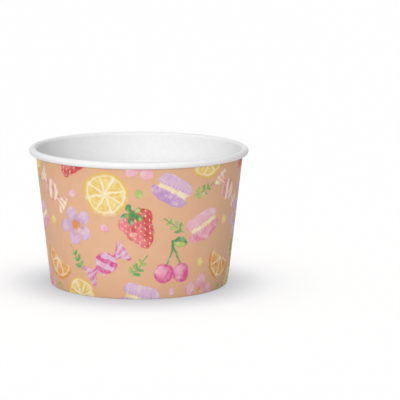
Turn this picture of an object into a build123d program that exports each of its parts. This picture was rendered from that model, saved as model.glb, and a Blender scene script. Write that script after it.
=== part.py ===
from build123d import *
from math import asin, atan2, cos, degrees, hypot, sin, tan
import os

# A paper dessert cup made of two pieces of coated paperboard. The sidewall is a fan-shaped blank,
# wrapped into a cone with a lapped side seam, rolled outwards at the top and folded inwards at the foot.
# The bottom disc has its edge turned down, and is sealed inside that fold.
# The origin is at the centre of the foot, on the table, with +Z up, the front at -Y and the side seam near +X.

# Overall sizes, in millimetres
rim_diameter = 96.0  # outside the rolled rim
foot_diameter = 78.0  # outside the wall, where its line meets the table
cup_height = 60.0  # table to the top of the rolled rim

# Paperboard
wall_board = 0.35  # thickness of the sidewall's board
disc_board = 0.30  # thickness of the bottom disc's board
seal_film = 0.02  # film of sealing plastic between layers pressed together

# Rolled rim
roll_height = 3.0  # outside height of the roll
roll_step = 30  # turn from one flat of the roll to the next, in degrees
roll_end = -120  # direction of the roll's last edge from its centre, in degrees from level

# Foot
disc_height = 5.5  # table to the underside of the bottom disc
disc_bend = 0.2  # flat where the bottom disc's edge turns down, measured along each side
disc_clearance = 0.15  # turned-down edge to the inside of the fold
hem_height = 4.4  # table to the edge of the folded-in hem
fold_bend = 0.2  # flat at each corner of the fold, measured along each side

# Side seam, measured at the foot
seam_direction = -9.0  # angle of the inner cut edge round the axis, from +X, in degrees
seam_lap = 7.0  # width of the overlap
seam_ramp = 3.0  # width over which the outer layer climbs onto the inner one

# The wall's line starts at the foot's diameter and runs up to touch the roll from inside.
foot_radius = foot_diameter / 2
roll_radius = roll_height / 2
hollow_radius = roll_radius - wall_board
roll_centre = Vector(rim_diameter / 2 - roll_radius, cup_height - roll_radius)
reach = roll_centre - Vector(foot_radius, 0)
taper = atan2(reach.X, reach.Y) - asin(hollow_radius / hypot(reach.X, reach.Y))


def on_wall(height, inset=0):
    """Point of the section at a height, set in from the wall's outer face and square to it."""
    return Vector(foot_radius + height * tan(taper) - inset / cos(taper), height)


def on_roll(radius):
    """Points round the roll at a radius, from where the wall touches it to the sheet's last edge."""
    angles = [180 - degrees(taper), *range(180 - roll_step, roll_end - 1, -roll_step)]
    return [roll_centre + Vector(radius, 0).rotate(Axis.Z, angle) for angle in angles]


def upright(angle):
    """Plane through the axis at an angle past the inner cut edge, with x outwards and y up."""
    turn = seam_direction + angle
    x_dir = Vector(1, 0, 0).rotate(Axis.Z, turn)
    z_dir = Vector(0, -1, 0).rotate(Axis.Z, turn)
    return Plane(origin=(0, 0, 0), x_dir=x_dir, z_dir=z_dir)


def wall_strip(angle, outer, inner):
    """Section of a strip of wall between the fold and the roll, from one inset to another."""
    with BuildSketch(upright(angle)) as strip:
        with BuildLine():
            Polyline(
                on_wall(strip_foot, outer),
                on_wall(strip_top, outer),
                on_wall(strip_top, inner),
                on_wall(strip_foot, inner),
                close=True,
            )
        make_face()
    return strip.sketch.face()


# Sidewall: its section is the printed face and the white face of one sheet, from the hem to the roll.
hem_inset = 2 * wall_board + disc_board + 2 * seal_film

# The seam's strips stand on the fold and end inside the roll, level with its centre.
strip_foot = wall_board + fold_bend
strip_top = roll_centre.Y
lap_angle = degrees(seam_lap / foot_radius)
ramp_angle = degrees(seam_ramp / foot_radius)

with BuildPart() as sidewall:
    with BuildSketch(upright(0)) as sheet:
        with BuildLine():
            Polyline(
                on_wall(hem_height, hem_inset),
                on_wall(0, hem_inset),
                on_wall(0),
                *on_roll(hollow_radius),
                *reversed(on_roll(roll_radius)),
                on_wall(wall_board, wall_board),
                on_wall(wall_board, hem_inset - wall_board),
                on_wall(hem_height, hem_inset - wall_board),
                close=True,
            )
        make_face()
        chamfer(sheet.vertices().group_by(Axis.Y)[0], fold_bend)
    revolve(axis=Axis.Z)
    # Before the inner cut edge the wall is opened, and the outer layer climbs through the opening.
    revolve(
        wall_strip(-ramp_angle, -seal_film, wall_board + seal_film),
        axis=Axis.Z,
        revolution_arc=ramp_angle,
        mode=Mode.SUBTRACT,
    )
    loft([wall_strip(-ramp_angle, 0, wall_board), wall_strip(0, -wall_board, 0)])
    # Past the cut edge it lies on the inner layer, as far as its own cut edge.
    revolve(wall_strip(0, -wall_board, 0), axis=Axis.Z, revolution_arc=lap_angle)
sidewall.part.label = "sidewall"

# Bottom disc: a flat disc with its edge turned down between the wall and the hem.
skirt_inset = wall_board + seal_film
skirt_end = wall_board + disc_clearance

with BuildPart() as bottom_disc:
    with BuildSketch(upright(0)) as tray:
        with BuildLine():
            Polyline(
                (0, disc_height),
                on_wall(disc_height, skirt_inset + disc_board),
                on_wall(skirt_end, skirt_inset + disc_board),
                on_wall(skirt_end, skirt_inset),
                on_wall(disc_height + disc_board, skirt_inset),
                (0, disc_height + disc_board),
                close=True,
            )
        make_face()
        chamfer(tray.vertices().sort_by(Axis.X)[-1], disc_bend)
    revolve(axis=Axis.Z)
bottom_disc.part.label = "bottom_disc"

os.makedirs("parts", exist_ok=True)
export_step(sidewall.part, "parts/sidewall.step")
export_step(bottom_disc.part, "parts/bottom_disc.step")
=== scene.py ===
from math import asin, atan2, cos, degrees, hypot, pi, radians, sin, tan

import bpy
import numpy as np
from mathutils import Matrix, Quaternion, Vector


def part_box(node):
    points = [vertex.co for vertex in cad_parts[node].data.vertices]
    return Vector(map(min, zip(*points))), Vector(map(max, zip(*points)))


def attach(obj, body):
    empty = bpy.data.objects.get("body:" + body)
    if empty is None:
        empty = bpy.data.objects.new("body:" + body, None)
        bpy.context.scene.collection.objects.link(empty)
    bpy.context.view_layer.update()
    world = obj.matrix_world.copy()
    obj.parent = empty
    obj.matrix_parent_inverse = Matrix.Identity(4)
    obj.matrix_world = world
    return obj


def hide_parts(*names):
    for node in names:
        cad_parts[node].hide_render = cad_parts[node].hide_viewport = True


# A paper dessert cup made of two pieces of coated paperboard. The printed sidewall has a lapped side seam, a
# rolled rim and a folded foot, and the bottom disc is sealed inside the fold.

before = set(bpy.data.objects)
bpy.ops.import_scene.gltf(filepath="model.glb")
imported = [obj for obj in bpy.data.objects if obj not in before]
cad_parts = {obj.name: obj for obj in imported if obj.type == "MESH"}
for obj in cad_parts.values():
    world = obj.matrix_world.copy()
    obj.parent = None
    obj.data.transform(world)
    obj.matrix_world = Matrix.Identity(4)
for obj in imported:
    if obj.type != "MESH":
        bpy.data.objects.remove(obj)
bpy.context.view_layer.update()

# Sizes of the cup, in millimetres. The rim and the height are read from the frame.
MILLIMETRES = 1000  # in a metre
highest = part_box("sidewall")[1]
RIM_RADIUS = highest.x * MILLIMETRES
HEIGHT = highest.z * MILLIMETRES
FOOT_RADIUS = 39.0  # of the wall's line, where it meets the table
BOARD = 0.35  # thickness of the sidewall's board
DISC_BOARD = 0.30  # thickness of the disc's board
FILM = 0.02  # sealing plastic between layers
ROLL_RADIUS = 1.5  # outside the rim's rolled section
HOLLOW_RADIUS = ROLL_RADIUS - BOARD
HEM_HEIGHT = 4.4  # table to the edge of the folded-in hem
HEM_INSET = 2 * BOARD + DISC_BOARD + 2 * FILM  # wall's outer face to the hem's far face
DISC_HEIGHT = 5.5  # table to the disc's underside

# Side seam: widths at the foot, and their angles round the axis in degrees
SEAM = -9.0  # direction of the inner cut edge from +X
SEAM_LAP = 7.0  # overlap
SEAM_RAMP = 3.0  # climb of the outer layer onto the inner one
LAP = degrees(SEAM_LAP / FOOT_RADIUS)
RAMP = degrees(SEAM_RAMP / FOOT_RADIUS)

# The wall's line runs up from the foot and touches the roll from inside.
ROLL_CENTRE = np.array([RIM_RADIUS - ROLL_RADIUS, HEIGHT - ROLL_RADIUS])
reach = ROLL_CENTRE - [FOOT_RADIUS, 0]
TAPER = atan2(*reach) - asin(HOLLOW_RADIUS / hypot(*reach))
OUTWARD = np.array([cos(TAPER), -sin(TAPER)])


# Nodes


class Value:
    """A node's output. Outputs that are numbers can be added, multiplied and so on."""

    def __init__(self, paint, socket):
        self.paint = paint
        self.socket = socket

    def __add__(self, other):
        return self.paint.math("ADD", self, other)

    def __mul__(self, other):
        return self.paint.math("MULTIPLY", self, other)

    __radd__ = __add__
    __rmul__ = __mul__

    def __sub__(self, other):
        return self.paint.math("SUBTRACT", self, other)

    def __rsub__(self, other):
        return self.paint.math("SUBTRACT", other, self)

    def __truediv__(self, other):
        return self.paint.math("DIVIDE", self, other)

    def __neg__(self):
        return self * -1.0

    def __abs__(self):
        return self.paint.math("ABSOLUTE", self)


class Paint:
    """The node tree of a material or a world, with short forms that add nodes and give their outputs."""

    def __init__(self, owner):
        owner.use_nodes = True
        self.tree = owner.node_tree

    def put(self, socket, value):
        if isinstance(value, Value):
            self.tree.links.new(value.socket, socket)
        else:
            socket.default_value = value

    def fill(self, name, inputs):
        """Sets inputs of a node that the tree has from the start."""
        for title, value in inputs.items():
            self.put(self.tree.nodes[name].inputs[title], value)

    def node(self, kind, inputs, out=0, **settings):
        node = self.tree.nodes.new("ShaderNode" + kind)
        for title, value in settings.items():
            setattr(node, title, value)
        for place, value in inputs.items():
            self.put(node.inputs[place], value)
        return Value(self, node.outputs[out])

    def math(self, operation, *values):
        return self.node("Math", dict(enumerate(values)), operation=operation)

    def vector(self, operation, *values, out=0):
        return self.node("VectorMath", dict(enumerate(values)), out, operation=operation)

    def length(self, value):
        return self.vector("LENGTH", value, out=1)

    def axes(self, value):
        node = self.tree.nodes.new("ShaderNodeSeparateXYZ")
        self.put(node.inputs[0], value)
        return [Value(self, output) for output in node.outputs]

    def distance(self, x, y):
        return self.math("SQRT", x * x + y * y)

    def least(self, first, *others):
        for other in others:
            first = self.math("MINIMUM", first, other)
        return first

    def turned(self, value, angle):
        return self.node("VectorRotate", {"Vector": value, "Angle": radians(angle)}, rotation_type="Z_AXIS")

    def step(self, value, start, end, first=0.0, final=1.0):
        """Goes smoothly from first to final as a value goes from start to end."""
        inputs = dict(enumerate((value, start, end, first, final)))
        return self.node("MapRange", inputs, interpolation_type="SMOOTHSTEP")

    def colour(self, share, first, second):
        return self.node("Mix", {0: share, 6: first, 7: second}, 2, data_type="RGBA")

    def either(self, share, first, second):
        return self.node("Mix", {0: share, 4: first, 5: second}, 1, data_type="VECTOR")

    def noise(self, place, scale, detail, out=0):
        return self.node("TexNoise", {"Vector": place, "Scale": scale, "Detail": detail}, out)

    def mottle(self, place, scale, detail, between, levels):
        """Noise that goes from one level to another as it crosses a range."""
        return self.step(self.noise(place, scale, detail), *between, *levels)

    def profile(self, value, points):
        """A curve through points, whose places and levels are from 0 to 1."""
        node = self.tree.nodes.new("ShaderNodeFloatCurve")
        curve = node.mapping.curves[0]
        for place, level in points[1:-1]:
            curve.points.new(place, level)
        curve.points[0].location = points[0]
        curve.points[-1].location = points[-1]
        node.mapping.update()
        self.put(node.inputs["Value"], value)
        return Value(self, node.outputs[0])


def srgb(red, green, blue):
    """Linear colour, with alpha, from 8-bit values."""
    shares = [c / 255 for c in (red, green, blue)]
    return [c / 12.92 if c <= 0.04045 else ((c + 0.055) / 1.055) ** 2.4 for c in shares] + [1.0]


# Print: washes of watercolour on a peach ground, three times round the cup. Its map is in millimetres of the
# flat sheet, across from the seam and up from the table.

PRINT_RADIUS = 42.3  # where the print's width is true
TILE = 88.0  # a little under a third of the way round, so the print steps at the seam
CLEAR = 500.0  # more than the sheet's height, so that motifs repeat across it and not up it

PEACH = srgb(229, 182, 147)
PEACH_DEEP = srgb(227, 179, 143)
PALEST = srgb(252, 240, 232)
CREAM = srgb(250, 236, 200)
YELLOW = srgb(240, 216, 140)
AMBER = srgb(230, 190, 95)
APRICOT = srgb(240, 178, 96)
ORANGE = srgb(226, 148, 66)
PINK = srgb(240, 190, 205)
BLUSH = srgb(243, 170, 200)
ROSE = srgb(228, 140, 165)
CORAL = srgb(236, 128, 140)
RED = srgb(206, 68, 84)
MAGENTA = srgb(214, 78, 146)
LILAC = srgb(222, 190, 218)
VIOLET = srgb(188, 146, 202)
LIME = srgb(190, 205, 110)
LEAF = srgb(104, 168, 100)
GREEN = srgb(66, 148, 92)

# Each motif's places on the tile: across, up, turn in degrees, millimetres to its own unit, and tint from 0
# to 1. A motif is drawn in its own unit, about its own middle.
CITRUS = [(1, 0, 20, 8.2, 0.0), (75, 15, -24, 9.8, 1.0), (16, 46, 150, 9.6, 0.0), (60, 60, 30, 8.4, 0.0)]
BERRIES = [(30, 31.5, 26, 9.6, 0.0), (1, 60.5, -28, 9.4, 0.0)]
BLOSSOMS = [(60, 1, 10, 8.8, 0.0), (1, 31, 40, 8.8, 1.0), (31, 60, 75, 8.4, 0.0)]
MACARONS = [(31, 0, -16, 9.4, 1.0), (60, 31, 24, 9.2, 0.0), (44, 47.5, -30, 9.0, 1.0)]
CHERRIES = [(45, 16.5, 8, 10.4, 0.0)]
SWEETS = [(15, 15.5, 36, 11.4, 0.0), (75, 45, -40, 10.8, 1.0)]
SPRIGS = [
    (30, 14.5, -38, 6.4, 0.0), (88, 17, 30, 6.2, 0.0), (45, 32.5, 52, 6.0, 0.0), (59, 46.5, -64, 5.8, 0.0),
]
DROPS = [
    (59.5, 15, 0, 1.7, 0.1), (15, 31, 0, 1.9, 0.6), (74, 31.5, 0, 1.8, 0.35), (30, 46, 0, 1.8, 0.9),
    (88, 45, 0, 1.9, 0.6), (45, 3, 0, 1.6, 0.6), (74, 2, 0, 1.5, 0.9), (45, 59, 0, 1.6, 0.1),
    (16, 58.5, 0, 1.5, 0.6), (74, 58, 0, 1.5, 0.9),
]

BRUSH_ANGLE = 24  # of the strokes, in degrees
BRUSH_STRETCH = (1.0, 0.45, 1.0)  # draws the noise out along the strokes
POOL_WIDTH = 0.12  # of the pigment gathered along an outline, in a motif's unit
SWAY = (2.6, 2.6, 0)  # how far outlines wander, in millimetres
FRAY = (0.4, 0.4, 0)  # how far they tremble
NOISE_MIDDLE = (0.5, 0.5, 0.5)
TINT_SHARE = 1000  # parts into which a tint is cut, so that it doesn't weigh in a distance


class Watercolour(Paint):
    """Paint for washes on the flat sheet, as uneven as a brush leaves them."""

    def __init__(self, owner):
        super().__init__(owner)
        self.flat = self.node("UVMap", {}, uv_map="Print")
        self.grain = self.noise(self.flat, scale=0.2, detail=3.0)
        bristles = self.vector("MULTIPLY", self.turned(self.flat, BRUSH_ANGLE), BRUSH_STRETCH)
        # Share of the palest tone, marks of the brush, pigment at outlines, softness of outlines, and cover
        self.bloom = self.mottle(self.flat, scale=0.26, detail=3.0, between=(0.5, 0.75), levels=(0.0, 0.5))
        self.strokes = self.mottle(bristles, scale=0.6, detail=3.0, between=(0.3, 0.7), levels=(-0.25, 0.25))
        self.pools = self.mottle(self.flat, scale=0.33, detail=2.0, between=(0.35, 0.65), levels=(0.15, 0.75))
        self.bleed = self.mottle(self.flat, scale=0.15, detail=1.0, between=(0.4, 0.65), levels=(0.8, 2.0))
        self.cover = self.mottle(self.flat, scale=0.4, detail=3.0, between=(0.3, 0.7), levels=(0.86, 0.98))

    def shaken(self, place, scale, detail, reach):
        """A place, moved about by noise."""
        aside = self.vector("SUBTRACT", self.noise(self.flat, scale, detail, out=1), NOISE_MIDDLE)
        return self.vector("MULTIPLY_ADD", aside, reach, place)

    def nearest(self, spot, places):
        """Local place in the nearest of a motif's copies, and that copy's tint, carried by the third axis."""
        best = None
        for across, up, turn, size, tint in places:
            local = self.vector("SUBTRACT", spot, (across, up, 0))
            local = self.vector("WRAP", local, (TILE / 2, CLEAR, 1), (-TILE / 2, -CLEAR, -1))
            local = self.turned(local, -turn)
            local = self.vector("MULTIPLY_ADD", local, (1 / size, 1 / size, 0), (0, 0, tint / TINT_SHARE))
            if best is None:
                best = local
            else:
                nearer = self.math("LESS_THAN", self.length(local), self.length(best))
                best = self.either(nearer, best, local)
        return best, self.axes(best)[2] * TINT_SHARE

    def wash(self, picture, depth, pale, deep, flow, soft=0.03):
        """Lays one wash. Depth is the distance in from its outline, and flow the share of deep pigment."""
        pooled = self.step(depth, 0.0, POOL_WIDTH) * self.pools
        pigment = self.pools - pooled + (flow + self.strokes)
        body = self.colour(pigment, pale, deep)
        body = self.colour(self.bloom, body, PALEST)
        reach = self.bleed * soft
        cover = self.step(depth, -reach, reach, 0.0, self.cover)
        return self.colour(cover, picture, body)


def citrus(paint, picture, spot):
    """A slice of lemon, or half a slice of orange."""
    rind = 0.87  # radius of its inside
    flesh_start = 0.1
    flesh_end = 0.79
    segments = 8
    membrane = 0.045  # half its thickness
    pith = 0.05  # along a cut
    local, tint = paint.nearest(spot, CITRUS)
    x, y, _ = paint.axes(local)
    away = paint.distance(x, y)
    cut = 2.0 - 2.0 * tint - y  # through an orange's middle, and clear of a lemon
    fruit = paint.colour(tint, AMBER, ORANGE)
    flesh = paint.colour(tint, YELLOW, APRICOT)
    picture = paint.wash(picture, paint.least(1.0 - away, cut), flesh, fruit, paint.step(away, 0.7, 1.0))
    picture = paint.wash(picture, paint.least(rind - away, cut), CREAM, flesh, flow=0.0)
    sector = paint.math("FRACT", paint.math("ARCTAN2", y, x) * (segments / (2 * pi)))
    across = 0.5 - abs(sector - 0.5)
    apart = across * away * (2 * pi / segments) - membrane
    depth = paint.least(apart, flesh_end - away, away - flesh_start, cut - pith)
    return paint.wash(picture, depth, flesh, fruit, paint.step(paint.grain, 0.35, 0.75))


def berries(paint, picture, spot):
    """A strawberry with seeds and a star of leaves."""
    outline = [
        (0, 0), (0.06, 0.2), (0.25, 0.47), (0.5, 0.7), (0.7, 0.78), (0.83, 0.68), (0.9, 0.42), (0.93, 0),
    ]
    seed_rows = 4.2  # to the unit
    seed_slimness = 1.7
    star_height = 0.68
    star_leaves = 5
    local, _ = paint.nearest(spot, BERRIES)
    x, y, _ = paint.axes(local)
    depth = paint.profile(0.5 * y + 0.5, outline) - abs(x)
    picture = paint.wash(picture, depth, CORAL, RED, paint.step(0.5 * x + 0.2 + paint.grain, 0.35, 0.9))
    level = y * seed_rows
    along = x * seed_rows + paint.math("FLOOR", level) * 0.5
    seed_x = (paint.math("FRACT", along) - 0.5) * seed_slimness
    seed_y = paint.math("FRACT", level) - 0.5
    seed = paint.step(seed_x * seed_x + seed_y * seed_y, 0.07, 0.03)
    inside = paint.step(depth, 0.05, 0.12, 0.0, 0.85)
    picture = paint.colour(seed * inside, picture, YELLOW)
    rise = y - star_height
    leaf = abs(paint.math("COSINE", paint.math("ARCTAN2", x, rise) * (star_leaves / 2)))
    depth = 0.4 * leaf + 0.1 - paint.distance(x, rise)
    return paint.wash(picture, depth, LIME, GREEN, paint.step(paint.grain, 0.3, 0.6))


def blossoms(paint, picture, spot):
    """A flower of five round petals, with a ring of stamens."""
    petals = 5
    roundness = 0.55  # lower for broader petals
    heart_radius = 0.24
    stamen_radius = 0.36
    stamens = 3  # to a petal
    local, tint = paint.nearest(spot, BLOSSOMS)
    x, y, _ = paint.axes(local)
    away = paint.distance(x, y)
    angle = paint.math("ARCTAN2", y, x) * (petals / 2)
    petal = paint.math("POWER", abs(paint.math("COSINE", angle)), roundness)
    depth = 0.62 * petal + 0.36 - away
    flow = paint.step(away, 0.75, 0.2, 0.0, 0.8) + paint.step(paint.grain, 0.5, 0.8, 0.0, 0.4)
    pale = paint.colour(tint, PINK, LILAC)
    deep = paint.colour(tint, ROSE, VIOLET)
    picture = paint.wash(picture, depth, pale, deep, flow)
    picture = paint.wash(picture, heart_radius - away, YELLOW, ORANGE, paint.step(paint.grain, 0.4, 0.6))
    dots = abs(paint.math("SINE", angle * stamens))
    stamen = paint.step(abs(away - stamen_radius), 0.07, 0.03) * paint.step(dots, 0.6, 0.85, 0.0, 0.9)
    return paint.colour(stamen, picture, AMBER)


def macarons(paint, picture, spot):
    """Two round shells with ruffled feet and a filling between them."""
    outline = [
        (0, 0), (0.03, 0.42), (0.12, 0.78), (0.25, 0.92), (0.36, 0.95), (0.41, 0.92), (0.43, 0.84),
        (0.57, 0.84), (0.59, 0.92), (0.64, 0.95), (0.75, 0.92), (0.88, 0.78), (0.97, 0.42), (1, 0),
    ]
    filling = 0.1  # half its thickness
    foot_height = 0.17
    ruffles = 34.0  # in radians to the unit
    local, tint = paint.nearest(spot, MACARONS)
    x, y, _ = paint.axes(local)
    pale = paint.colour(tint, PINK, LILAC)
    deep = paint.colour(tint, ROSE, VIOLET)
    depth = paint.profile(0.72 * y + 0.5, outline) - abs(x)
    picture = paint.wash(picture, depth, pale, deep, paint.step(paint.grain - 0.5 * y, 0.4, 0.85))
    level = abs(y)
    between = paint.least(depth, filling - level)
    picture = paint.wash(picture, between, CREAM, YELLOW, paint.step(paint.grain, 0.45, 0.7))
    foot = paint.step(abs(level - foot_height), 0.07, 0.03) * paint.step(depth, 0.0, 0.08)
    ruffle = paint.step(paint.math("SINE", x * ruffles), 0.0, 0.9, 0.0, 0.6)
    return paint.colour(foot * ruffle, picture, deep)


def cherries(paint, picture, spot):
    """Two cherries on their stems, with a leaf."""
    stem_top = 0.9
    stem_foot = -0.4
    stem_side = 0.1  # place across of both stems' tops
    stem_spreads = (-0.52, 0.3)
    stem_width = 0.045  # half of it
    leaf_base = (0.1, 0.86, 0)
    leaf_angle = 18
    fruits = [((-0.44, -0.46, 0), 0.42), ((0.36, -0.58, 0), 0.39)]  # place and radius
    shine_place = (-0.13, 0.15, 0)
    local, _ = paint.nearest(spot, CHERRIES)
    x, y, _ = paint.axes(local)
    fall = 0.72 - 0.8 * y
    for spread in stem_spreads:
        line = x - (fall * fall * spread + stem_side)
        depth = paint.least(stem_width - abs(line), y - stem_foot, stem_top - y)
        picture = paint.wash(picture, depth, LIME, GREEN, flow=0.7)
    along, off, _ = paint.axes(paint.turned(paint.vector("SUBTRACT", local, leaf_base), leaf_angle))
    depth = 1.25 * along * (1.0 - 1.35 * along) - abs(off)
    picture = paint.wash(picture, depth, LIME, GREEN, paint.step(off, -0.06, 0.06))
    for place, radius in fruits:
        apart = paint.vector("SUBTRACT", local, place)
        shine = paint.length(paint.vector("SUBTRACT", apart, shine_place))
        flow = paint.step(shine, 0.05, 0.4) + paint.step(paint.grain, 0.4, 0.8, -0.2, 0.2)
        picture = paint.wash(picture, radius - paint.length(apart), BLUSH, MAGENTA, flow)
    return picture


def sweets(paint, picture, spot):
    """A sweet in a striped wrapper with twisted ends."""
    outline = [
        (0, 0.42), (0.2, 0.4), (0.36, 0.28), (0.45, 0.1), (0.52, 0.1), (0.7, 0.24), (0.92, 0.43),
        (0.96, 0.36), (1, 0),
    ]
    stripes = 14.0  # in radians to the unit
    stripe_slant = 0.6
    pleats = 26.0  # in radians to the unit of slope
    local, tint = paint.nearest(spot, SWEETS)
    x, y, _ = paint.axes(local)
    side = abs(x)
    depth = paint.profile(side, outline) - abs(y)
    stripe = paint.step(paint.math("SINE", (stripe_slant * y + x) * stripes), -0.2, 0.3)
    band = stripe * paint.step(paint.grain, 0.2, 0.6, 0.5, 1.0)
    pleat = paint.step(paint.math("SINE", y / (side + 0.05) * pleats), -0.5, 1.0, 0.05, 0.6)
    twisted = paint.step(side, 0.44, 0.5)
    flow = band * (1.0 - twisted) + pleat * twisted
    pale = paint.colour(tint, LILAC, CREAM)
    deep = paint.colour(tint, MAGENTA, ROSE)
    return paint.wash(picture, depth, pale, deep, flow)


def sprigs(paint, picture, spot):
    """A stem with pairs of leaves."""
    stem_end = 0.95  # from the middle
    stem_width = 0.04  # half of it
    leaf_pairs = [(-0.75, 0.62), (-0.28, 0.56), (0.18, 0.46)]  # height on the stem, and length
    lean_up, lean_out = 0.64, 0.77  # direction of the leaves
    local, _ = paint.nearest(spot, SPRIGS)
    x, y, _ = paint.axes(local)
    side = abs(x)
    picture = paint.wash(picture, paint.least(stem_width - side, stem_end - abs(y)), LIME, LEAF, flow=0.6)
    for base, size in leaf_pairs:
        rise = y - base
        along = rise * lean_up + side * lean_out
        off = rise * lean_out - side * lean_up
        depth = 0.95 * along * (1.0 - along * (1 / size)) - abs(off)
        picture = paint.wash(picture, depth, LIME, LEAF, paint.step(off + paint.grain, 0.4, 0.62))
    return picture


def drops(paint, picture, spot):
    """Small splashes of yellow, pink and green between the motifs."""
    local, tint = paint.nearest(spot, DROPS)
    pink = paint.step(tint, 0.4, 0.5)
    green = paint.step(tint, 0.7, 0.8)
    pale = paint.colour(green, paint.colour(pink, YELLOW, PINK), LIME)
    deep = paint.colour(green, paint.colour(pink, AMBER, MAGENTA), GREEN)
    flow = paint.step(paint.grain, 0.4, 0.7, 0.0, 0.6)
    return paint.wash(picture, 1.0 - paint.length(local), pale, deep, flow, soft=0.15)


MOTIFS = (drops, sprigs, citrus, macarons, blossoms, sweets, berries, cherries)  # from the lowest layer up


# Boards

FIBRES = (1.0, 2.6, 1.0)  # draws the board's noise out along its fibres
GRAIN_DEPTH = 0.00004  # of the board's surface, in metres


def board_grain(paint, place, strength):
    """Bump of the board's surface: felted fibres under a thin coat. Place is in millimetres."""
    fibres = paint.noise(paint.vector("MULTIPLY", place, FIBRES), scale=1.1, detail=5.0)
    waves = paint.noise(place, scale=0.12, detail=2.0)
    return paint.node("Bump", {"Strength": strength, "Distance": GRAIN_DEPTH, "Height": 2.0 * waves + fibres})


def printed_board():
    """The sidewall's outer face: watercolour motifs on peach, with the paper's tooth showing through."""
    material = bpy.data.materials.new("printed_board")
    paint = Watercolour(material)
    spot = paint.shaken(paint.flat, scale=0.22, detail=2.0, reach=SWAY)
    spot = paint.shaken(spot, scale=1.1, detail=3.0, reach=FRAY)
    picture = paint.colour(paint.step(paint.grain, 0.35, 0.7), PEACH, PEACH_DEEP)
    for motif in MOTIFS:
        picture = motif(paint, picture, spot)
    tooth = paint.noise(paint.flat, scale=5.0, detail=3.0)
    paint.fill("Principled BSDF", {
        "Base Color": paint.colour(paint.step(tooth, 0.55, 0.75, 0.0, 0.14), picture, CREAM),
        "Roughness": paint.step(tooth, 0.3, 0.7, 0.46, 0.56),
        "Specular IOR Level": 0.12,
        "Normal": board_grain(paint, paint.flat, strength=0.35),
    })
    return material


def white_board(name, tone, shade, roughness):
    """Plain board, faintly mottled by its fibres."""
    material = bpy.data.materials.new(name)
    paint = Paint(material)
    place = paint.node("TexCoord", {}, "Object")
    place = paint.vector("MULTIPLY", place, (MILLIMETRES, MILLIMETRES, MILLIMETRES))
    clouds = paint.noise(place, scale=0.5, detail=4.0)
    paint.fill("Principled BSDF", {
        "Base Color": paint.colour(paint.step(clouds, 0.3, 0.7), tone, shade),
        "Roughness": paint.step(clouds, 0.3, 0.7, roughness, roughness + 0.08),
        "Specular IOR Level": 0.3,
        "Normal": board_grain(paint, place, strength=0.3),
    })
    return material


PRINTED = printed_board()
COATED = white_board("coated_board", tone=srgb(243, 243, 243), shade=srgb(240, 240, 240), roughness=0.5)
BARE = white_board("bare_board", tone=srgb(236, 234, 228), shade=srgb(228, 225, 217), roughness=0.75)


# Sections, as radius and height

SHARP = radians(50)  # turn between faces above which an edge isn't smoothed


def on_wall(height, inset=0.0):
    """Point at a height, set in from the wall's outer face and square to it."""
    return np.array([FOOT_RADIUS + height * tan(TAPER) - inset / cos(TAPER), height])


def on_roll(angle, radius):
    """Point on the roll, in degrees from level."""
    return ROLL_CENTRE + radius * np.array([cos(radians(angle)), sin(radians(angle))])


def rounded(before, corner, after, radius, count):
    """Points of an arc that rounds the corner between two lines."""
    a, b = before - corner, after - corner
    a, b = a / hypot(*a), b / hypot(*b)
    half = np.arccos(a @ b) / 2
    centre = corner + (a + b) / hypot(*(a + b)) * radius / sin(half)
    start, end = (corner + side * radius / tan(half) - centre for side in (a, b))
    turn = np.arctan2(start[0] * end[1] - start[1] * end[0], start @ end)
    square = np.array([-start[1], start[0]])
    return [centre + start * cos(t) + square * sin(t) for t in np.linspace(0, turn, count)]


def place_piece(name, points, faces, materials, indices, maps):
    """Makes a piece from millimetre points, smooth but for its sharp edges, with the named maps."""
    mesh = bpy.data.meshes.new(name)
    mesh.from_pydata((np.array(points) / MILLIMETRES).tolist(), [], faces)
    for material in materials:
        mesh.materials.append(material)
    mesh.polygons.foreach_set("material_index", indices)
    for title, corners in maps.items():
        layer = mesh.uv_layers.new(name=title)
        layer.data.foreach_set("uv", np.array(corners, np.float32).ravel())
    mesh.shade_smooth()
    mesh.set_sharp_from_angle(angle=SHARP)
    piece = bpy.data.objects.new(name, mesh)
    bpy.context.scene.collection.objects.link(piece)
    return piece


# Sidewall: one sheet, followed from the hem's edge round the fold, up the wall and round the roll.
# Each row of its section has a point on the printed face and one on the white face. Its columns run
# once round from the seam's inner cut edge, climb onto the sheet's own start, and lap it.

FRONT, BACK, EDGE = range(3)  # printed face, white face and cut edges, and so the piece's materials
HEM_HEIGHTS = (HEM_HEIGHT, 4.2, 3.9, 3.2, 2.5, 1.8, 1.1, 0.8)  # rows down the hem
LOWER_HEIGHTS = (0.6, 0.8, 1.2, 2.0, 3.0, 4.0)  # rows up the wall, closer together at both ends
MIDDLE_HEIGHTS = np.linspace(7, HEIGHT - 3, 15)
UPPER_HEIGHTS = (HEIGHT - 2.2, HEIGHT - ROLL_RADIUS)
WALL_HEIGHTS = (*LOWER_HEIGHTS, *MIDDLE_HEIGHTS, *UPPER_HEIGHTS)
ROLL_ANGLES = np.linspace(180 - degrees(TAPER), -90, 30)  # rows round the roll, in degrees
TUCK_ANGLES = np.linspace(-90, -200, 14)[1:]  # rows of its end
FOLD_OUTSIDE = 0.34  # radius of the fold's corners on the printed face
FOLD_INSIDE = 0.12  # and on the white face
FOLD_POINTS = 6  # rows round a corner
RIBS = 90  # pressed into the hem where it is sealed to the disc
RIB_ROWS = slice(1, 7)  # rows of the hem that have them
RIB_DEPTH = 0.1
PRESSED_TO = 4.0  # height below which the seam is pressed by the fold
LAP_RISE = 0.1  # of the lap's upper end over the layer under it
TUCK = 0.47  # how far the roll's end draws in
TUCK_AT_SEAM = 0.56  # and how much further where the seam is double
ONCE = 360  # columns once round
RAMP_COLUMNS = 8  # the last of those, which climb
LAP_COLUMNS = 10
LAST = ONCE + LAP_COLUMNS  # the column at the outer cut edge


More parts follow.
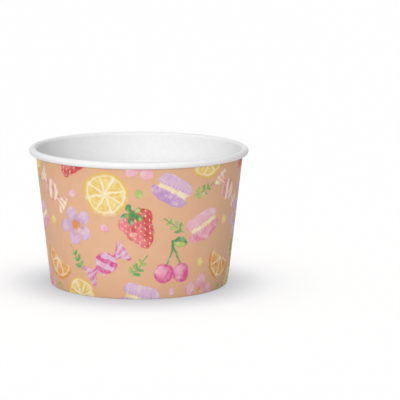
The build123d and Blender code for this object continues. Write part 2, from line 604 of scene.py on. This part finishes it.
def fold_rows():
    """The foot's fold, whose two corners are rounded."""
    inside = HEM_INSET - BOARD
    printed = [on_wall(1, HEM_INSET), on_wall(0, HEM_INSET), on_wall(0), on_wall(1)]
    white = [on_wall(1, inside), on_wall(BOARD, inside), on_wall(BOARD, BOARD), on_wall(1, BOARD)]
    found = []
    for first in (0, 1):
        corner = slice(first, first + 3)
        outer_arc = rounded(*printed[corner], FOLD_OUTSIDE, FOLD_POINTS)
        inner_arc = rounded(*white[corner], FOLD_INSIDE, FOLD_POINTS)
        found += zip(outer_arc, inner_arc)
    return found


hem = [(on_wall(h, HEM_INSET), on_wall(h, HEM_INSET - BOARD)) for h in HEM_HEIGHTS]
foot = hem + fold_rows()
wall = [(on_wall(h), on_wall(h, BOARD)) for h in WALL_HEIGHTS]
roll = [(on_roll(a, HOLLOW_RADIUS), on_roll(a, ROLL_RADIUS)) for a in ROLL_ANGLES]
tuck = [(on_roll(a, HOLLOW_RADIUS), on_roll(a, ROLL_RADIUS)) for a in TUCK_ANGLES]
rows = foot + wall + roll + tuck
WALL_FIRST = len(foot)
WALL_LAST = WALL_FIRST + len(wall) - 1

turns = np.concatenate([
    np.linspace(0, 360 - RAMP, ONCE - RAMP_COLUMNS, endpoint=False),
    np.linspace(360 - RAMP, 360, RAMP_COLUMNS, endpoint=False),
    np.linspace(360, 360 + LAP, LAP_COLUMNS + 1),
])


def eased(t):
    """Goes smoothly from 0 to 1, as t does."""
    t = np.clip(t, 0, 1)
    return t * t * (3 - 2 * t)


def sheet_points(face):
    """Points of one face, by row and column."""
    section = np.array([row[face] for row in rows])
    grid = np.repeat(section[:, None], len(turns), 1)
    climb = eased((turns - 360 + RAMP) / RAMP)
    lift = np.full(len(wall), BOARD + FILM)
    if face == FRONT:
        ribs = eased(0.5 - 0.5 * np.cos(np.radians(turns) * RIBS))
        grid[RIB_ROWS] += RIB_DEPTH * ribs[:, None] * OUTWARD
        # The fold presses the lap's lower end thin.
        lift = np.interp(WALL_HEIGHTS, (WALL_HEIGHTS[0], PRESSED_TO), (2 * FILM, BOARD + FILM))
    grid[WALL_FIRST:WALL_LAST + 1] += (lift[:, None] * climb)[:, :, None] * OUTWARD
    grid[WALL_LAST, :, 1] += LAP_RISE * climb
    # The roll's end tucks in against the wall, and further in where the seam is double.
    crowded = np.maximum(eased((turns - 360 + 2 * RAMP) / RAMP), eased((LAP + RAMP - turns) / RAMP))
    along = eased(np.arange(1, len(tuck) + 1) / len(tuck))
    inwards = along[:, None] * (TUCK + TUCK_AT_SEAM * crowded)
    towards = ROLL_CENTRE - section[-len(tuck):]
    towards /= np.linalg.norm(towards, axis=1)[:, None]
    grid[-len(tuck):] += inwards[:, :, None] * towards[:, None]
    angles = np.radians(SEAM + turns)
    radius, height = grid[:, :, 0], grid[:, :, 1]
    return np.stack([radius * np.cos(angles), radius * np.sin(angles), height], 2)


# On the wall every column has its own points. Elsewhere the sheet closes into a ring.
points = []
numbers = np.zeros((2, len(rows), len(turns)), int)
for face in (FRONT, BACK):
    for row, line in enumerate(sheet_points(face)):
        own = len(turns) if WALL_FIRST <= row <= WALL_LAST else ONCE
        numbers[face, row] = len(points) + np.arange(len(turns)) % own
        points += line[:own].tolist()

# Distances on the flat sheet, up from the table and across from the seam
steps = [hypot(*(b[FRONT] - a[FRONT])) for a, b in zip(rows, rows[1:])]
up = np.concatenate([[0], np.cumsum(steps)])
up += WALL_HEIGHTS[0] / cos(TAPER) - up[WALL_FIRST]
across = np.radians(turns) * PRINT_RADIUS

# The bake map is cut into strips, in pixels. The printed wall's two halves take most of it.
BAKE_SIZE = 1024
BAKE_LEFT = 6  # ends of every strip
BAKE_RIGHT = 1018
EDGE_STRIPS = (1010, 1014, 1018)  # bottoms of the strips for cut edges
EDGE_STRIP_HEIGHT = 3

faces, indices, print_map, bake_map = [], [], [], []


def add_face(material, corners, bake_spots):
    """Corners are face, row and column."""
    faces.append([numbers[corner] for corner in corners])
    indices.append(material)
    print_map.extend((across[column], up[row]) for _, row, column in corners)
    bake_map.extend(bake_spots)


def add_patch(face, bands, columns, bottom, top):
    """One face of the sheet over a range of rows and columns, in a strip of the bake map."""
    first, last = bands[0], bands[-1] + 1
    left, right = columns[0], columns[-1] + 1
    true_to_scale = face == FRONT and first == WALL_FIRST
    for i in bands:
        for j in columns:
            spots = [(i, j), (i, j + 1), (i + 1, j + 1), (i + 1, j)]
            if face == BACK:
                spots.reverse()
            places = []
            for row, column in spots:
                side = (across[column] - across[left]) / (across[right] - across[left])
                rise = (row - first) / (last - first)
                if true_to_scale:
                    rise = (up[row] - up[first]) / (up[last] - up[first])
                u = BAKE_LEFT + (BAKE_RIGHT - BAKE_LEFT) * side
                v = bottom + (top - bottom) * rise
                places.append((u / BAKE_SIZE, v / BAKE_SIZE))
            add_face(face, [(face, *spot) for spot in spots], places)


half_way = ONCE // 2
foot_bands = range(WALL_FIRST)
wall_bands = range(WALL_FIRST, WALL_LAST)
roll_bands = range(WALL_LAST, len(rows) - 1)
add_patch(FRONT, wall_bands, range(half_way), bottom=4, top=390)
add_patch(FRONT, wall_bands, range(half_way, LAST), bottom=396, top=782)
add_patch(BACK, wall_bands, range(LAST), bottom=788, top=850)
add_patch(BACK, roll_bands, range(ONCE), bottom=856, top=918)
add_patch(FRONT, roll_bands, range(ONCE), bottom=922, top=962)
add_patch(FRONT, foot_bands, range(ONCE), bottom=966, top=990)
add_patch(BACK, foot_bands, range(ONCE), bottom=994, top=1008)

# Cut edges join the two faces round the hem, round the roll's end, and round both ends of the seam.
hem_edge = [(0, j) for j in range(ONCE + 1)]
roll_edge = [(len(rows) - 1, j) for j in range(ONCE, -1, -1)]
seam_edge = [(WALL_FIRST - 1, ONCE)]
seam_edge += [(WALL_FIRST, j) for j in range(ONCE, LAST + 1)]
seam_edge += [(i, LAST) for i in range(WALL_FIRST + 1, WALL_LAST)]
seam_edge += [(WALL_LAST, j) for j in range(LAST, ONCE - 1, -1)]
seam_edge += [(i, 0) for i in range(WALL_LAST + 1, WALL_FIRST - 2, -1)]
for bottom, edge in zip(EDGE_STRIPS, (hem_edge, roll_edge, seam_edge)):
    top = bottom + EDGE_STRIP_HEIGHT
    spread = np.linspace(BAKE_LEFT, BAKE_RIGHT, len(edge)) / BAKE_SIZE
    levels = np.array([bottom, bottom, top, top]) / BAKE_SIZE
    for k, (a, b) in enumerate(zip(edge, edge[1:])):
        corners = [(FRONT, *b), (FRONT, *a), (BACK, *a), (BACK, *b)]
        add_face(EDGE, corners, list(zip(spread[[k + 1, k, k, k + 1]], levels)))

maps = {"Print": print_map, "OFBake": bake_map}
sidewall = place_piece("sidewall_board", points, faces, [PRINTED, COATED, BARE], indices, maps)
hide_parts("sidewall")

# Bottom disc: coated above and bare below, with its edge turned down inside the fold.

DISC_RINGS = (0, 2, 6, 12, 20, 28, 34, 37)  # radii of rows on its flat part
DISC_BEND_OUTSIDE = 0.45  # radius of its bend above
DISC_BEND_INSIDE = 0.15  # and below
OUTSIDE_POINTS = 8  # rows round the bend above
INSIDE_POINTS = 5  # and below
DISC_CLEARANCE = 0.15  # turned-down edge to the inside of the fold
SKIRT_HEIGHTS = (4, 2.5)  # rows down the turned-down edge
DISC_COLUMNS = 180
COATED_FACE, BARE_FACE = range(2)  # the piece's materials

disc_top = DISC_HEIGHT + DISC_BOARD
skirt_end = BOARD + DISC_CLEARANCE
skirt_outside = BOARD + FILM
skirt_inside = skirt_outside + DISC_BOARD
under_corner = [np.array([0, DISC_HEIGHT]), on_wall(DISC_HEIGHT, skirt_inside), on_wall(0, skirt_inside)]
upper_corner = [on_wall(0, skirt_outside), on_wall(disc_top, skirt_outside), np.array([0, disc_top])]
under = [np.array([r, DISC_HEIGHT]) for r in DISC_RINGS]
under += rounded(*under_corner, DISC_BEND_INSIDE, INSIDE_POINTS)
under += [on_wall(h, skirt_inside) for h in (*SKIRT_HEIGHTS, skirt_end)]
upper = [on_wall(h, skirt_outside) for h in (skirt_end, *reversed(SKIRT_HEIGHTS))]
upper += rounded(*upper_corner, DISC_BEND_OUTSIDE, OUTSIDE_POINTS)
upper += [np.array([r, disc_top]) for r in reversed(DISC_RINGS)]

# The section's two ends are single points on the axis, and its other points make rings.
rings = under[1:] + upper[:-1]
points = [(0, 0, DISC_HEIGHT), (0, 0, disc_top)]
for r, z in rings:
    points += [(r * cos(a), r * sin(a), z) for a in np.linspace(0, 2 * pi, DISC_COLUMNS, endpoint=False)]
ring_starts = range(2, len(points), DISC_COLUMNS)
faces, indices = [], []
for i, (near, far) in enumerate(zip(ring_starts, ring_starts[1:])):
    for j in range(DISC_COLUMNS):
        k = (j + 1) % DISC_COLUMNS
        faces.append([near + j, near + k, far + k, far + j])
        indices.append(COATED_FACE if i + 1 >= len(under) else BARE_FACE)
for j in range(DISC_COLUMNS):
    k = (j + 1) % DISC_COLUMNS
    faces.append([0, ring_starts[0] + k, ring_starts[0] + j])
    indices.append(BARE_FACE)
    faces.append([1, ring_starts[-1] + j, ring_starts[-1] + k])
    indices.append(COATED_FACE)
disc = place_piece("bottom_disc_board", points, faces, [COATED, BARE], indices, {})
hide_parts("bottom_disc")
for piece in (sidewall, disc):
    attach(piece, "root")

# Floor and light. The floor and the world are white to the eye and in reflections, and the floor keeps
# the cup's soft shadow.

WHITE = (1, 1, 1, 1)
FLOOR_REACH = 4  # metres from the cup
FLOOR_BOUNCE = (0.36, 0.36, 0.36, 1)  # the floor's colour for light that it throws on the cup
FLOOR_SHADE = (0.377, 0.35, 0.323, 1)  # its colour as it is seen, which the shadow darkens
FLOOR_GLOW = (0.279, 0.33, 0.381, 1)  # its glow as it is seen, cool because the peach wall warms the shadow
WORLD_LIGHT = 0.315  # strength of the world's light on the cup and the floor

scene = bpy.context.scene


def looked_at(paint):
    """1 where a ray from the camera, a reflection or clear matter meets the surface."""
    kinds = ("Camera", "Glossy", "Transmission")
    camera_ray, glossy_ray, clear_ray = (paint.node("LightPath", {}, f"Is {kind} Ray") for kind in kinds)
    return paint.math("MAXIMUM", paint.math("MAXIMUM", camera_ray, glossy_ray), clear_ray)


floor_material = bpy.data.materials.new("floor")
ground = Paint(floor_material)
shown = looked_at(ground)
ground.fill("Principled BSDF", {
    "Base Color": ground.colour(shown, FLOOR_BOUNCE, FLOOR_SHADE),
    "Roughness": 1.0,
    "Specular IOR Level": 0.0,
    "Emission Color": FLOOR_GLOW,
    "Emission Strength": shown,
})
floor_mesh = bpy.data.meshes.new("floor")
floor_corners = [(x * FLOOR_REACH, y * FLOOR_REACH, 0) for x, y in ((-1, -1), (1, -1), (1, 1), (-1, 1))]
floor_mesh.from_pydata(floor_corners, [], [(0, 1, 2, 3)])
floor_mesh.materials.append(floor_material)
floor = bpy.data.objects.new("floor", floor_mesh)
scene.collection.objects.link(floor)

world = bpy.data.worlds.new("studio")
scene.world = world
sky = Paint(world)
sky.fill("Background", {"Color": WHITE, "Strength": sky.step(looked_at(sky), 0.0, 1.0, WORLD_LIGHT, 1.0)})


def softbox(name, height, side, strength, spread, lit, mirrored=False):
    """A soft lamp that lights some pieces. Height, side and spread are in degrees, side from the camera's."""
    lamp = bpy.data.lights.new(name, "SUN")
    lamp.energy = strength * pi
    lamp.angle = radians(spread)
    box = bpy.data.objects.new(name, lamp)
    up, across = radians(height), radians(side)
    towards = Vector((-sin(across) * cos(up), cos(across) * cos(up), -sin(up)))
    box.rotation_euler = towards.to_track_quat("-Z", "Y").to_euler()
    scene.collection.objects.link(box)
    group = bpy.data.collections.new(name)
    for thing in lit:
        group.objects.link(thing)
    box.light_linking.receiver_collection = group
    box.visible_glossy = mirrored


CUP = (sidewall, disc)
softbox("front_lamp", height=16, side=-14, strength=0.472, spread=20, lit=CUP, mirrored=True)
softbox("ceiling_lamp", height=60, side=-20, strength=0.182, spread=25, lit=CUP)
softbox("overhead_lamp", height=90, side=0, strength=0.142, spread=30, lit=CUP)
softbox("back_lamp", height=8, side=180, strength=0.45, spread=22, lit=CUP)
softbox("near_floor_lamp", height=87, side=180, strength=0.79, spread=28, lit=(floor,), mirrored=True)
softbox("wide_floor_lamp", height=90, side=0, strength=0.79, spread=70, lit=(floor,), mirrored=True)

# Camera: a little above the rim, with the cup left of the picture's middle

PICTURE = 400  # pixels across
SENSOR = 36  # millimetres across
FOCAL = 2041  # in pixels of the picture
DISTANCE = 0.9  # metres from the cup's middle
ELEVATION = radians(10.2)
ROLL = radians(0.31)  # stands the cup upright off the picture's middle
AIM_RIGHT = 61.0  # pixels from the cup's middle to the picture's
AIM_UP = 13.6

lens = bpy.data.cameras.new("camera")
lens.sensor_width = SENSOR
lens.lens = FOCAL / PICTURE * SENSOR
camera = bpy.data.objects.new("camera", lens)
scene.collection.objects.link(camera)
middle = Vector((0, 0, HEIGHT / 2 / MILLIMETRES))
camera.location = middle + DISTANCE * Vector((0, -cos(ELEVATION), sin(ELEVATION)))
picture_up = Vector((0, sin(ELEVATION), cos(ELEVATION)))
aim = middle + DISTANCE / FOCAL * (Vector((AIM_RIGHT, 0, 0)) + AIM_UP * picture_up)
level = Quaternion((0, 0, 1), ROLL)
camera.rotation_euler = ((aim - camera.location).to_track_quat("-Z", "Y") @ level).to_euler()
scene.camera = camera

scene.view_settings.view_transform = "Standard"
